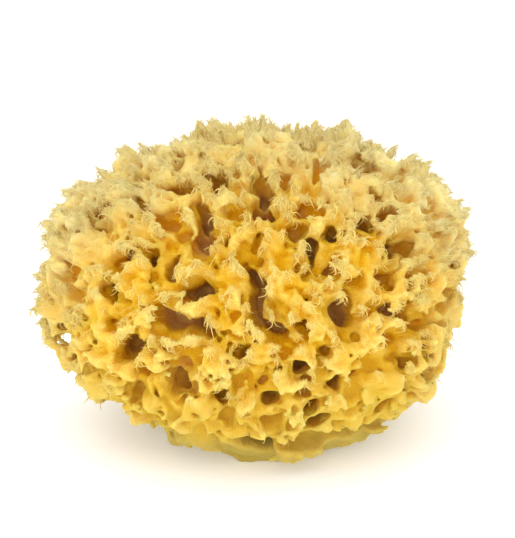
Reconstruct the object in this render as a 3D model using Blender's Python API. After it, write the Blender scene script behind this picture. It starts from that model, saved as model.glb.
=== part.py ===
"""A natural sea sponge, grown as one piece: a rounded body with tufts all over its crown, deep holes between
them, finer pores lower down, and a smooth lip round the flat face where it was cut from the rock.

Metres, +Z up. The origin is the middle of the cut face, and the side that the photograph shows faces -Y.
"""

import math
import random

import bmesh
import bpy
from mathutils import Matrix, Vector

# Overall size, over the tips of the tufts.
WIDTH = 0.140
DEPTH = 0.118
CROWN_RISE = 0.054  # from the widest level up to the highest tufts
CUT_DROP = 0.046  # from the widest level down to the cut face
MIDDLE = Vector((0.0, 0.0, CUT_DROP))

# Where the body swells or falls in from a plain ellipsoid: direction, share of the radius, and sharpness.
SWELLS = [
    (Vector((-0.95, -0.2, -0.25)), 0.020, 5.0),
    (Vector((-0.66, -0.2, -0.72)), -0.080, 7.0),
    (Vector((-0.55, 0.0, 0.85)), -0.030, 6.0),
    (Vector((-0.86, 0.1, 0.46)), 0.050, 12.0),
    (Vector((0.45, 0.0, 0.90)), 0.040, 6.0),
    (Vector((0.86, 0.1, 0.46)), 0.050, 12.0),
    (Vector((0.97, 0.1, 0.24)), 0.030, 20.0),
    (Vector((1.0, 0.0, -0.05)), -0.060, 22.0),
    (Vector((0.10, -0.5, -0.86)), 0.075, 9.0),
]

# Tufts stand tallest on the crown and are short on the lower body.
CROWN_TUFT = 0.0078
BASE_TUFT = 0.0030
TUFT_SPACING = 0.0092
TUFT_RADIUS = 0.0047
TUFT_POINTS = 3
# Up a tuft: share of its height and of its radius. It flares into the body and ends in a shallow cup.
TUFT_PROFILE = [(-0.50, 1.40), (0.0, 1.18), (0.45, 0.98), (0.95, 0.90), (0.70, 0.30)]
TUFT_LEAN = 0.30
POINT_SPREAD = 0.22  # how far a tuft's points stand out from its mean radius, and its notches in
RAGGED = 0.12
TUFT_GAP = 0.0012  # least room between a tuft's middle and a hole's rim

# Holes are funnels, open past the tips of the tufts.
DEEP = 0.017
SHALLOW = 0.0065
FUNNEL_START = 0.011
FUNNEL_MOUTH = 1.5
FUNNEL_END = 0.6
FUNNEL_SIDES = 6
HOLE_LEAST = 0.0040
VIEW_PULL = 0.8  # how much a hole of the photographed side turns from the surface's normal to the line of sight
HIDDEN_HOLES = 96  # shared evenly over the whole sponge, and kept where the photograph doesn't look
HIDDEN_SIZES = (0.0035, 0.0078)
HIDDEN_SHIFT = 0.09
SEEN_SLOPE = 0.18  # a surface that faces the photograph less than this counts as hidden

# The smooth lip round the cut face, parted from the body above by a groove at the front and right.
LIP_HEIGHT = 0.0085
LIP_MARGIN = 0.006
GROOVE_RADIUS = 0.0026
GROOVE_FROM = math.radians(-100.0)
GROOVE_TO = math.radians(-25.0)
GROOVE_DIP = -0.74  # how far down the groove runs, as the slope of its direction from the middle
GROOVE_INSET = 0.0006

ROCK_HEIGHT = 0.05
VOXEL = 0.0013
BODY_TRIANGLES = 5150
SITE_DIRECTIONS = 1500
SEED = 7

# Where the photograph was taken from: it turns a place in the photograph into a place on the sponge.
VIEW_ELEVATION = math.radians(18.0)
VIEW_DISTANCE = 0.600
PIXELS_PER_METRE = 3070.0
PHOTO_MIDDLE = (257.5, 269.0)
AIM = MIDDLE + Vector((0.0008, 0.0023, 0.0071))

# Holes read from the photograph: x, y, width and height in its pixels, and the tilt of the width in degrees.
DEEP_HOLES = [
    (202, 217, 14, 22, 25),
    (202, 240, 20, 15, 0),
    (262, 189, 15, 24, 25),
    (261, 210, 19, 16, 0),
    (130, 258, 15, 11, 30),
    (155, 261, 10, 10, 0),
    (202, 287, 25, 13, 10),
    (259, 284, 28, 11, -60),
    (257, 310, 12, 25, 0),
    (175, 321, 22, 21, 0),
    (204, 327, 19, 14, 0),
    (275, 333, 30, 9, -15),
    (341, 309, 26, 24, 0),
    (398, 311, 32, 11, -12),
    (132, 346, 28, 12, 30),
    (359, 226, 19, 11, -15),
    (333, 241, 11, 11, 0),
    (311, 251, 9, 22, -10),
    (389, 248, 12, 18, 20),
    (223, 184, 10, 14, 0),
    (113, 290, 18, 10, -35),
    (177, 264, 9, 18, 0),
    (178, 383, 9, 17, 0),
    (219, 395, 9, 10, 0),
    (302, 364, 12, 10, 0),
    (336, 384, 12, 11, 0),
    (272, 400, 10, 12, 0),
    (310, 411, 10, 11, 0),
    (315, 426, 22, 7, 35),
    (254, 445, 22, 10, 0),
]
SHALLOW_HOLES = [
    (295, 232, 18, 18, 0),
    (236, 213, 20, 18, 0),
    (318, 181, 11, 26, 0),
    (284, 183, 10, 16, 0),
    (144, 203, 11, 24, 20),
    (371, 190, 9, 18, 25),
    (191, 388, 13, 10, 0),
    (248, 352, 10, 10, 0),
    (306, 323, 11, 10, 0),
    (307, 379, 11, 8, 0),
    (322, 348, 10, 9, 0),
    (357, 373, 9, 9, 0),
    (264, 378, 9, 9, 0),
    (407, 284, 10, 24, 0),
    (383, 281, 16, 13, 0),
    (167, 224, 18, 15, 0),
    (306, 209, 20, 18, 0),
    (180, 187, 26, 11, 0),
    (102, 212, 18, 13, 0),
    (363, 170, 17, 17, 0),
    (387, 217, 15, 16, 0),
    (430, 232, 13, 13, 0),
    (332, 276, 12, 10, 0),
    (180, 366, 18, 11, 0),
    (145, 370, 11, 9, 0),
    (136, 389, 20, 12, 20),
    (160, 419, 14, 9, 0),
    (391, 343, 13, 12, 0),
    (407, 363, 12, 12, 0),
    (428, 367, 14, 12, 0),
    (216, 177, 24, 12, 0),
    (102, 230, 17, 9, 0),
    (182, 235, 16, 14, 0),
    (405, 252, 12, 16, 0),
    (418, 322, 22, 9, 0),
    (226, 417, 11, 28, 0),
    (272, 422, 22, 14, 0),
    (118, 264, 9, 14, 0),
    (127, 406, 18, 8, 0),
    (390, 405, 24, 9, 30),
    (302, 394, 12, 12, 0),
]

# Tufts read from the photograph: x, y and half width in its pixels.
FRONT_TUFTS = [
    (187, 197, 14),
    (214, 193, 16),
    (284, 197, 13),
    (226, 222, 13),
    (256, 229, 15),
    (232, 247, 15),
    (197, 260, 19),
    (232, 275, 15),
    (246, 292, 14),
    (289, 256, 17),
    (286, 289, 15),
    (228, 300, 16),
    (197, 303, 14),
    (187, 324, 9),
    (225, 326, 14),
    (249, 327, 9),
    (268, 345, 14),
    (305, 304, 10),
    (321, 312, 12),
    (342, 263, 17),
    (364, 290, 12),
    (390, 297, 13),
    (343, 199, 18),
    (377, 200, 11),
    (331, 216, 13),
    (322, 292, 10),
    (278, 216, 10),
    (300, 172, 15),
    (333, 165, 15),
    (269, 164, 14),
    (236, 166, 14),
    (203, 163, 15),
    (168, 171, 15),
    (164, 205, 13),
    (130, 186, 14),
    (119, 206, 12),
    (126, 230, 15),
    (152, 239, 14),
    (93, 249, 15),
    (104, 276, 9),
    (140, 276, 14),
    (149, 303, 13),
    (142, 326, 11),
    (116, 341, 12),
    (76, 262, 14),
    (74, 300, 15),
    (70, 232, 14),
    (81, 207, 12),
    (420, 258, 14),
    (424, 294, 13),
    (413, 268, 9),
    (371, 263, 10),
    (406, 201, 15),
    (388, 168, 14),
    (430, 212, 13),
    (357, 245, 12),
    (303, 341, 11),
    (239, 340, 9),
    (222, 350, 9),
    (401, 350, 9),
    (156, 346, 12),
    (91, 326, 13),
    (86, 352, 13),
    (367, 326, 12),
    (418, 335, 12),
]


def swell(direction):
    """How far the body stands from a plain ellipsoid in this direction, as a factor."""
    factor = 1.0
    for middle, size, sharp in SWELLS:
        factor += size * math.exp(sharp * (direction.dot(middle.normalized()) - 1.0))
    return factor


def crownness(direction):
    """0 on the lower body, 1 on the crown."""
    t = (direction.z + 0.45) / 0.45
    t = max(0.0, min(1.0, t))
    return t * t * (3.0 - 2.0 * t)


def tuft_height(direction):
    return BASE_TUFT + (CROWN_TUFT - BASE_TUFT) * crownness(direction)


def floor_point(direction):
    """The point of the body between its tufts, in this direction from its middle."""
    direction = direction.normalized()
    half = Vector((WIDTH / 2, DEPTH / 2, CROWN_RISE))
    reach = 1.0 / Vector([d / h for d, h in zip(direction, half)]).length
    return MIDDLE + direction * (reach * swell(direction) - tuft_height(direction))


def normal_at(direction):
    step = 0.02
    side = direction.orthogonal().normalized()
    other = direction.cross(side)
    along = floor_point(direction + side * step) - floor_point(direction - side * step)
    across = floor_point(direction + other * step) - floor_point(direction - other * step)
    return along.cross(across).normalized()


def view_axes():
    """Right, up and forward, as the photograph sees them."""
    forward = Vector((0.0, math.cos(VIEW_ELEVATION), -math.sin(VIEW_ELEVATION)))
    right = Vector((1.0, 0.0, 0.0))
    return right, right.cross(forward), forward


def seen_at(x, y):
    """The direction from the sponge's middle to what the photograph shows at this pixel."""
    right, up, forward = view_axes()
    eye = AIM - forward * VIEW_DISTANCE
    sideways, upwards = x - PHOTO_MIDDLE[0], PHOTO_MIDDLE[1] - y
    ray = (forward * PIXELS_PER_METRE * VIEW_DISTANCE + right * sideways + up * upwards).normalized()
    near, far = VIEW_DISTANCE * 0.8, (MIDDLE - eye).dot(ray)
    for _ in range(40):
        half_way = (near + far) / 2
        offset = eye + ray * half_way - MIDDLE
        if offset.length < (floor_point(offset) - MIDDLE).length:
            far = half_way
        else:
            near = half_way
    return (eye + ray * far - MIDDLE).normalized()


def even_directions(count):
    """Directions spread evenly over a sphere."""
    turn = math.pi * (3.0 - math.sqrt(5.0))
    for n in range(count):
        z = 1.0 - (2.0 * n + 1.0) / count
        flat = math.sqrt(1.0 - z * z)
        yield Vector((flat * math.cos(turn * n), flat * math.sin(turn * n), z))


def in_photograph(direction):
    """Whether the photograph sees this side of the sponge well."""
    return normal_at(direction).dot(-view_axes()[2]) > SEEN_SLOPE


def hole(direction, width, height, tilt, depth):
    """A hole as a dict: where it opens, the way it runs in, its half sizes and how deep it is."""
    right, up, forward = view_axes()
    inward = -normal_at(direction)
    if in_photograph(direction):
        inward = (inward + forward * VIEW_PULL).normalized()
    else:
        right = inward.orthogonal()
    across = (right - inward * right.dot(inward)).normalized()
    across = Matrix.Rotation(tilt, 3, -inward) @ across
    return {
        "at": floor_point(direction),
        "in": inward,
        "across": across,
        "half_width": width / 2,
        "half_height": height / 2,
        "depth": depth,
    }


def all_holes():
    holes = []
    for group, depth in ((DEEP_HOLES, DEEP), (SHALLOW_HOLES, SHALLOW)):
        for x, y, width, height, tilt in group:
            across, high = width / PIXELS_PER_METRE, height / PIXELS_PER_METRE
            holes.append(hole(seen_at(x, y), across, high, math.radians(tilt), depth))
    chance = random.Random(SEED)
    for direction in even_directions(HIDDEN_HOLES):
        shift = Vector([chance.uniform(-HIDDEN_SHIFT, HIDDEN_SHIFT) for _ in range(3)])
        direction = (direction + shift).normalized()
        size = chance.uniform(*HIDDEN_SIZES) * (0.6 + 0.4 * crownness(direction))
        slant = chance.uniform(0.0, math.pi)
        depth = DEEP if chance.random() < 0.5 else SHALLOW
        near_cut = floor_point(direction).z < LIP_HEIGHT + LIP_MARGIN
        if in_photograph(direction) or near_cut:
            continue
        holes.append(hole(direction, size, size * chance.uniform(0.6, 1.0), slant, depth))
    return holes


def tuft_sites(holes):
    """(direction, root, radius) of each tuft: the photograph's, then more wherever the holes leave room."""
    sites = []
    for x, y, half_width in FRONT_TUFTS:
        direction = seen_at(x, y)
        sites.append((direction, floor_point(direction), half_width / PIXELS_PER_METRE))
    room = []
    for direction in even_directions(SITE_DIRECTIONS):
        point = floor_point(direction)
        clear = min((point - h["at"]).length - max(h["half_width"], h["half_height"]) for h in holes)
        if point.z > LIP_HEIGHT and clear > TUFT_GAP:
            room.append((clear, direction, point))
    room.sort(key=lambda entry: -entry[0])
    for _, direction, point in room:
        radius = TUFT_RADIUS * (0.65 + 0.35 * crownness(direction))
        if all((point - root).length > TUFT_SPACING * 0.5 + other for _, root, other in sites):
            sites.append((direction, point, radius))
    return sites


def add_ring(bm, centre, side, up, lobes, turn=0.0):
    """A ring of points. side and up are its half axes, and each lobe is one point's share of them."""
    ring = []
    for n, lobe in enumerate(lobes):
        angle = turn + 2.0 * math.pi * n / len(lobes)
        ring.append(bm.verts.new(centre + (side * math.cos(angle) + up * math.sin(angle)) * lobe))
    return ring


def skin_rings(bm, rings):
    """Closes a stack of equal rings into a tube with capped ends."""
    for low, high in zip(rings, rings[1:]):
        for n in range(len(low)):
            m = (n + 1) % len(low)
            bm.faces.new((low[n], low[m], high[m], high[n]))
    bm.faces.new(list(reversed(rings[0])))
    bm.faces.new(rings[-1])


def add_tuft(bm, direction, root, radius, chance):
    """A short pillar that flares into the body and ends in a torn cup with a few points."""
    height = tuft_height(direction) * chance.uniform(0.82, 1.08)
    lean = Vector([chance.uniform(-TUFT_LEAN, TUFT_LEAN) for _ in range(3)])
    out = (normal_at(direction) + lean).normalized()
    side = out.orthogonal().normalized()
    up = out.cross(side)
    turn = chance.uniform(0.0, math.pi)
    lobes = []
    for n in range(2 * TUFT_POINTS):
        stand = POINT_SPREAD if n % 2 else -POINT_SPREAD
        lobes.append(1.0 + stand + chance.uniform(-RAGGED, RAGGED))
    rings = []
    for rise, spread in TUFT_PROFILE:
        size = radius * spread
        ring = add_ring(bm, root + out * height * rise, side * size, up * size, lobes, turn)
        for vert, lobe in zip(ring, lobes):
            vert.co += out * height * max(rise, 0.0) * (lobe - 1.0)
        rings.append(ring)
    skin_rings(bm, rings)


def add_funnel(bm, h, chance):
    """The shape of a hole, with an uneven rim."""
    side = h["across"]
    up = side.cross(h["in"])
    half_side = max(h["half_width"], HOLE_LEAST / 2)
    half_up = max(h["half_height"], HOLE_LEAST / 2)
    lobes = [chance.uniform(1.0 - RAGGED, 1.0 + RAGGED) for _ in range(FUNNEL_SIDES)]
    rings = []
    for run, spread in ((-FUNNEL_START, FUNNEL_MOUTH), (h["depth"], FUNNEL_END)):
        centre = h["at"] + h["in"] * run
        rings.append(add_ring(bm, centre, side * half_side * spread, up * half_up * spread, lobes))
    skin_rings(bm, rings)


def add_groove(bm):
    """The tube that parts the lip from the body above it."""
    steps, rings = 12, []
    for n in range(steps + 1):
        share = n / steps
        angle = GROOVE_FROM + (GROOVE_TO - GROOVE_FROM) * share
        out = Vector((math.cos(angle), math.sin(angle), 0.0))
        centre = floor_point(Vector((out.x, out.y, GROOVE_DIP))) - out * GROOVE_INSET
        radius = GROOVE_RADIUS * (0.25 + 0.75 * math.sin(math.pi * share) ** 0.5)
        rings.append(add_ring(bm, centre, out * radius * 1.7, Vector((0.0, 0.0, radius)), [1.0] * 6))
    skin_rings(bm, rings)


def mesh_object(name, bm, material):
    bmesh.ops.recalc_face_normals(bm, faces=bm.faces)
    mesh = bpy.data.meshes.new(name)
    bm.to_mesh(mesh)
    bm.free()
    obj = bpy.data.objects.new(name, mesh)
    bpy.context.scene.collection.objects.link(obj)
    mesh.materials.append(material)
    return obj


def sponge_material():
    material = bpy.data.materials.new("sponge_fibre")
    material.use_nodes = True
    shader = material.node_tree.nodes["Principled BSDF"]
    shader.inputs["Base Color"].default_value = (0.74, 0.47, 0.10, 1.0)
    shader.inputs["Roughness"].default_value = 0.9
    return material


def build():
    for obj in list(bpy.data.objects):
        bpy.data.objects.remove(obj)
    material = sponge_material()
    holes = all_holes()
    chance = random.Random(SEED)

    bm = bmesh.new()
    bmesh.ops.create_icosphere(bm, subdivisions=5, radius=1.0)
    for vert in bm.verts:
        vert.co = floor_point(vert.co)
    for direction, root, radius in tuft_sites(holes):
        add_tuft(bm, direction, root, radius, chance)
    sponge = mesh_object("sponge", bm, material)

    bm = bmesh.new()
    for h in holes:
        add_funnel(bm, h, chance)
    add_groove(bm)
    hollows = mesh_object("hollows", bm, material)
    bm = bmesh.new()
    size = Matrix.Diagonal((WIDTH * 2, DEPTH * 2, ROCK_HEIGHT, 1.0))
    bmesh.ops.create_cube(bm, size=1.0, matrix=Matrix.Translation((0.0, 0.0, -ROCK_HEIGHT / 2)) @ size)
    rock = mesh_object("rock", bm, material)

    fuse = sponge.modifiers.new("fuse", "REMESH")
    fuse.mode = "VOXEL"
    fuse.voxel_size = VOXEL
    settle = sponge.modifiers.new("settle", "SMOOTH")
    settle.factor = 0.5
    settle.iterations = 2
    bpy.context.view_layer.update()
    fused = sponge.evaluated_get(bpy.context.evaluated_depsgraph_get()).data
    thin = sponge.modifiers.new("thin", "DECIMATE")
    thin.ratio = BODY_TRIANGLES / (2 * len(fused.polygons))
    for cutter in (hollows, rock):
        cutter.hide_render = True
        cutter.display_type = "WIRE"
        cut = sponge.modifiers.new(cutter.name, "BOOLEAN")
        cut.operation = "DIFFERENCE"
        cut.solver = "EXACT"
        cut.use_self = cutter is hollows
        cut.object = cutter


build()
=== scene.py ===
"""The sea sponge's looks: its skin of tufts, walls, holes and pores, the frayed points and fibres on it,
a pale floor, soft light and the photograph's view.

The skin is a signed field on a grid, negative inside the sponge, that is turned into one closed mesh.
Metres, +Z up.
"""

import math
import random

import bmesh
import bpy
import numpy as np
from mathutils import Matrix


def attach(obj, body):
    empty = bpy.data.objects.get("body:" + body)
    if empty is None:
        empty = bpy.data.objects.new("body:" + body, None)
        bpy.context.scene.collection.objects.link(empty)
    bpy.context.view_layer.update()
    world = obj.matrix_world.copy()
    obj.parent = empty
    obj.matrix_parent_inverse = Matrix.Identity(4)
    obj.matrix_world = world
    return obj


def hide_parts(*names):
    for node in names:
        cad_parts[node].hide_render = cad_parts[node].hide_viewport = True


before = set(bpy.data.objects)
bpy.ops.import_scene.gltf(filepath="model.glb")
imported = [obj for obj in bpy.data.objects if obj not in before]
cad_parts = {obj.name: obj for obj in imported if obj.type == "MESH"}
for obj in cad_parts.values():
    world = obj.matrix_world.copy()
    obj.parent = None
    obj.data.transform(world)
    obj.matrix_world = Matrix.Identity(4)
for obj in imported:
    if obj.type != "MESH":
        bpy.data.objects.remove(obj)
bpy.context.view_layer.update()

import openvdb
from mathutils import Matrix, Vector

# Overall size, over the tips of the tufts.
WIDTH = 0.140
DEPTH = 0.118
CROWN_RISE = 0.054  # from the widest level up to the highest tufts
CUT_DROP = 0.046  # from the widest level down to the cut face
MIDDLE = Vector((0.0, 0.0, CUT_DROP))

# Where the body swells or falls in from a plain ellipsoid: direction, share of the radius, and sharpness.
SWELLS = [
    (Vector((-0.95, -0.2, -0.25)), 0.020, 5.0),
    (Vector((-0.66, -0.2, -0.72)), -0.080, 7.0),
    (Vector((-0.55, 0.0, 0.85)), -0.030, 6.0),
    (Vector((-0.86, 0.1, 0.46)), 0.050, 12.0),
    (Vector((0.45, 0.0, 0.90)), 0.040, 6.0),
    (Vector((0.86, 0.1, 0.46)), 0.050, 12.0),
    (Vector((0.97, 0.1, 0.24)), 0.030, 20.0),
    (Vector((1.0, 0.0, -0.05)), -0.060, 22.0),
    (Vector((0.10, -0.5, -0.86)), 0.075, 9.0),
]

# Tufts stand tallest on the crown and are short on the lower body.
CROWN_TUFT = 0.0078
BASE_TUFT = 0.0030
TUFT_SPACING = 0.0092
TUFT_RADIUS = 0.0047
TUFT_POINTS = 3
TUFT_LEAN = 0.30
POINT_SPREAD = 0.22  # how far a tuft's points stand out from its mean radius, and its notches in
RAGGED = 0.12
TUFT_GAP = 0.0012  # least room between a tuft's middle and a hole's rim

# Holes are funnels, open past the tips of the tufts.
DEEP = 0.017
SHALLOW = 0.0065
FUNNEL_START = 0.011
VIEW_PULL = 0.8  # how much a photographed hole turns from the surface's normal to the line of sight
HIDDEN_HOLES = 96  # shared evenly over the whole sponge, and kept where the photograph doesn't look
HIDDEN_SIZES = (0.0035, 0.0078)
HIDDEN_SHIFT = 0.09
SEEN_SLOPE = 0.18  # a surface that faces the photograph less than this counts as hidden

# The smooth lip round the cut face, parted from the body above by a groove at the front and right.
LIP_HEIGHT = 0.0085
LIP_MARGIN = 0.006
GROOVE_RADIUS = 0.0026
GROOVE_FROM = math.radians(-100.0)
GROOVE_TO = math.radians(-25.0)
GROOVE_DIP = -0.74  # how far down the groove runs, as the slope of its direction from the middle

SITE_DIRECTIONS = 1500
SEED = 7

# Where the photograph was taken from: it turns a place in the photograph into a place on the sponge.
VIEW_ELEVATION = math.radians(18.0)
VIEW_DISTANCE = 0.600
PIXELS_PER_METRE = 3070.0
PHOTO_MIDDLE = (257.5, 269.0)
AIM = MIDDLE + Vector((0.0008, 0.0023, 0.0071))

# Holes read from the photograph: x, y, width and height in its pixels, and the tilt of the width in degrees.
DEEP_HOLES = [
    (202, 217, 14, 22, 25), (202, 240, 20, 15, 0), (262, 189, 15, 24, 25), (261, 210, 19, 16, 0),
    (130, 258, 15, 11, 30), (155, 261, 10, 10, 0), (202, 287, 25, 13, 10), (259, 284, 28, 11, -60),
    (257, 310, 12, 25, 0), (175, 321, 22, 21, 0), (204, 327, 19, 14, 0), (275, 333, 30, 9, -15),
    (341, 309, 26, 24, 0), (398, 311, 32, 11, -12), (132, 346, 28, 12, 30), (359, 226, 19, 11, -15),
    (333, 241, 11, 11, 0), (311, 251, 9, 22, -10), (389, 248, 12, 18, 20), (223, 184, 10, 14, 0),
    (113, 290, 18, 10, -35), (177, 264, 9, 18, 0), (178, 383, 9, 17, 0), (219, 395, 9, 10, 0),
    (302, 364, 12, 10, 0), (336, 384, 12, 11, 0), (272, 400, 10, 12, 0), (310, 411, 10, 11, 0),
    (315, 426, 22, 7, 35), (254, 445, 22, 10, 0),
]
SHALLOW_HOLES = [
    (295, 232, 18, 18, 0), (236, 213, 20, 18, 0), (318, 181, 11, 26, 0), (284, 183, 10, 16, 0),
    (144, 203, 11, 24, 20), (371, 190, 9, 18, 25), (191, 388, 13, 10, 0), (248, 352, 10, 10, 0),
    (306, 323, 11, 10, 0), (307, 379, 11, 8, 0), (322, 348, 10, 9, 0), (357, 373, 9, 9, 0),
    (264, 378, 9, 9, 0), (407, 284, 10, 24, 0), (383, 281, 16, 13, 0), (167, 224, 18, 15, 0),
    (306, 209, 20, 18, 0), (180, 187, 26, 11, 0), (102, 212, 18, 13, 0), (363, 170, 17, 17, 0),
    (387, 217, 15, 16, 0), (430, 232, 13, 13, 0), (332, 276, 12, 10, 0), (180, 366, 18, 11, 0),
    (145, 370, 11, 9, 0), (136, 389, 20, 12, 20), (160, 419, 14, 9, 0), (391, 343, 13, 12, 0),
    (407, 363, 12, 12, 0), (428, 367, 14, 12, 0), (216, 177, 24, 12, 0), (102, 230, 17, 9, 0),
    (182, 235, 16, 14, 0), (405, 252, 12, 16, 0), (418, 322, 22, 9, 0), (226, 417, 11, 28, 0),
    (272, 422, 22, 14, 0), (118, 264, 9, 14, 0), (127, 406, 18, 8, 0), (390, 405, 24, 9, 30),
    (302, 394, 12, 12, 0),
]

# Tufts read from the photograph: x, y and half width in its pixels.
FRONT_TUFTS = [
    (187, 197, 14), (214, 193, 16), (284, 197, 13), (226, 222, 13), (256, 229, 15), (232, 247, 15),
    (197, 260, 19), (232, 275, 15), (246, 292, 14), (289, 256, 17), (286, 289, 15), (228, 300, 16),
    (197, 303, 14), (187, 324, 9), (225, 326, 14), (249, 327, 9), (268, 345, 14), (305, 304, 10),
    (321, 312, 12), (342, 263, 17), (364, 290, 12), (390, 297, 13), (343, 199, 18), (377, 200, 11),
    (331, 216, 13), (322, 292, 10), (278, 216, 10), (300, 172, 15), (333, 165, 15), (269, 164, 14),
    (236, 166, 14), (203, 163, 15), (168, 171, 15), (164, 205, 13), (130, 186, 14), (119, 206, 12),
    (126, 230, 15), (152, 239, 14), (93, 249, 15), (104, 276, 9), (140, 276, 14), (149, 303, 13),
    (142, 326, 11), (116, 341, 12), (76, 262, 14), (74, 300, 15), (70, 232, 14), (81, 207, 12),
    (420, 258, 14), (424, 294, 13), (413, 268, 9), (371, 263, 10), (406, 201, 15), (388, 168, 14),
    (430, 212, 13), (357, 245, 12), (303, 341, 11), (239, 340, 9), (222, 350, 9), (401, 350, 9),
    (156, 346, 12), (91, 326, 13), (86, 352, 13), (367, 326, 12), (418, 335, 12),
]


def swell(direction):
    """How far the body stands from a plain ellipsoid in this direction, as a factor."""
    factor = 1.0
    for middle, size, sharp in SWELLS:
        factor += size * math.exp(sharp * (direction.dot(middle.normalized()) - 1.0))
    return factor


def crownness(direction):
    """0 on the lower body, 1 on the crown."""
    t = (direction.z + 0.45) / 0.45
    t = max(0.0, min(1.0, t))
    return t * t * (3.0 - 2.0 * t)


def tuft_height(direction):
    return BASE_TUFT + (CROWN_TUFT - BASE_TUFT) * crownness(direction)


def floor_point(direction):
    """The point of the body between its tufts, in this direction from its middle."""
    direction = direction.normalized()
    half = Vector((WIDTH / 2, DEPTH / 2, CROWN_RISE))
    reach = 1.0 / Vector([d / h for d, h in zip(direction, half)]).length
    return MIDDLE + direction * (reach * swell(direction) - tuft_height(direction))


def normal_at(direction):
    step = 0.02
    side = direction.orthogonal().normalized()
    other = direction.cross(side)
    along = floor_point(direction + side * step) - floor_point(direction - side * step)
    across = floor_point(direction + other * step) - floor_point(direction - other * step)
    return along.cross(across).normalized()


def view_axes():
    """Right, up and forward, as the photograph sees them."""
    forward = Vector((0.0, math.cos(VIEW_ELEVATION), -math.sin(VIEW_ELEVATION)))
    right = Vector((1.0, 0.0, 0.0))
    return right, right.cross(forward), forward


def line_of_sight(x, y):
    """The eye, and the way from it through this pixel of the photograph."""
    right, up, forward = view_axes()
    sideways, upwards = x - PHOTO_MIDDLE[0], PHOTO_MIDDLE[1] - y
    way = forward * PIXELS_PER_METRE * VIEW_DISTANCE + right * sideways + up * upwards
    return AIM - forward * VIEW_DISTANCE, way.normalized()


def seen_at(x, y):
    """The direction from the sponge's middle to what the photograph shows at this pixel."""
    eye, ray = line_of_sight(x, y)
    near, far = VIEW_DISTANCE * 0.8, (MIDDLE - eye).dot(ray)
    for _ in range(40):
        half_way = (near + far) / 2
        offset = eye + ray * half_way - MIDDLE
        if offset.length < (floor_point(offset) - MIDDLE).length:
            far = half_way
        else:
            near = half_way
    return (eye + ray * far - MIDDLE).normalized()


def even_directions(count):
    """Directions spread evenly over a sphere."""
    turn = math.pi * (3.0 - math.sqrt(5.0))
    for n in range(count):
        z = 1.0 - (2.0 * n + 1.0) / count
        flat = math.sqrt(1.0 - z * z)
        yield Vector((flat * math.cos(turn * n), flat * math.sin(turn * n), z))


def in_photograph(direction):
    """Whether the photograph sees this side of the sponge well."""
    return normal_at(direction).dot(-view_axes()[2]) > SEEN_SLOPE


def hole(direction, width, height, tilt, depth):
    """A hole as a dict: where it opens, the way it runs in, its half sizes and how deep it is."""
    right, up, forward = view_axes()
    inward = -normal_at(direction)
    if in_photograph(direction):
        inward = (inward + forward * VIEW_PULL).normalized()
    else:
        right = inward.orthogonal()
    across = (right - inward * right.dot(inward)).normalized()
    across = Matrix.Rotation(tilt, 3, -inward) @ across
    return {
        "at": floor_point(direction),
        "in": inward,
        "across": across,
        "half_width": width / 2,
        "half_height": height / 2,
        "depth": depth,
    }


def all_holes():
    holes = []
    for group, depth in ((DEEP_HOLES, DEEP), (SHALLOW_HOLES, SHALLOW)):
        for x, y, width, height, tilt in group:
            across, high = width / PIXELS_PER_METRE, height / PIXELS_PER_METRE
            holes.append(hole(seen_at(x, y), across, high, math.radians(tilt), depth))
    chance = random.Random(SEED)
    for direction in even_directions(HIDDEN_HOLES):
        direction = (direction + random_vector(chance, HIDDEN_SHIFT)).normalized()
        size = chance.uniform(*HIDDEN_SIZES) * (0.6 + 0.4 * crownness(direction))
        slant = chance.uniform(0.0, math.pi)
        depth = DEEP if chance.random() < 0.5 else SHALLOW
        near_cut = floor_point(direction).z < LIP_HEIGHT + LIP_MARGIN
        if in_photograph(direction) or near_cut:
            continue
        holes.append(hole(direction, size, size * chance.uniform(0.6, 1.0), slant, depth))
    return holes


def tuft_sites(holes):
    """(direction, root, radius) of each tuft: the photograph's, then more wherever the holes leave room."""
    sites = []
    for x, y, half_width in FRONT_TUFTS:
        direction = seen_at(x, y)
        sites.append((direction, floor_point(direction), half_width / PIXELS_PER_METRE))
    room = []
    for direction in even_directions(SITE_DIRECTIONS):
        point = floor_point(direction)
        clear = min((point - h["at"]).length - max(h["half_width"], h["half_height"]) for h in holes)
        if point.z > LIP_HEIGHT and clear > TUFT_GAP:
            room.append((clear, direction, point))
    room.sort(key=lambda entry: -entry[0])
    for _, direction, point in room:
        radius = TUFT_RADIUS * (0.65 + 0.35 * crownness(direction))
        if all((point - root).length > TUFT_SPACING * 0.5 + other for _, root, other in sites):
            sites.append((direction, point, radius))
    return sites


# How much deeper the body lies between the tufts than in the solid, as a share of their height.
VALLEY = 0.28

# The photograph's hollows are wider in the skin, because light falls into their mouths.
HOLLOW_WIDER = 0.0011  # for deep hollows, on each side
HOLLOW_LESS_WIDER = 0.0003  # for shallow ones
HOLLOW_DEPTH = 0.85

# Tufts this close to each other, beyond their own radii, have a wall between them.
WALL_REACH = 0.0038
WALLS_LEFT_OUT = 0.30  # the share of them that has none

# How many knobs, small hollows and pores are tried, evenly all over the sponge.
BUDS = 800
BUBBLES = 1200
PORES = 2400

# Fillets where shapes grow together, on the rims of what is carved, and in the smallest holes.
FILLET = 0.0022
RIM = 0.0012
FINE_RIM = 0.0005

# Strands that the tufts' ends fray into: how wide they are, and how far they run along the radius.
FRAYS = [(0.0044, 0.012), (0.0026, 0.008), (0.0015, 0.006)]
FRAY_WEIGHT = 0.7

# How far the tufts' heads hang down.
HEAD_SAG = 0.0020

# A tuft's width at shares of its height, in the skin: narrow at the neck, with a soft wide head.
HEAD_PROFILE = [(-0.50, 1.30), (0.0, 1.02), (0.30, 0.92), (0.70, 1.24), (1.2, 1.18)]

# Streaks in the flesh: how fine they are round the sponge, and along its radius.
STREAK_SCALE = 90.0
STREAK_STRETCH = 260.0

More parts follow.
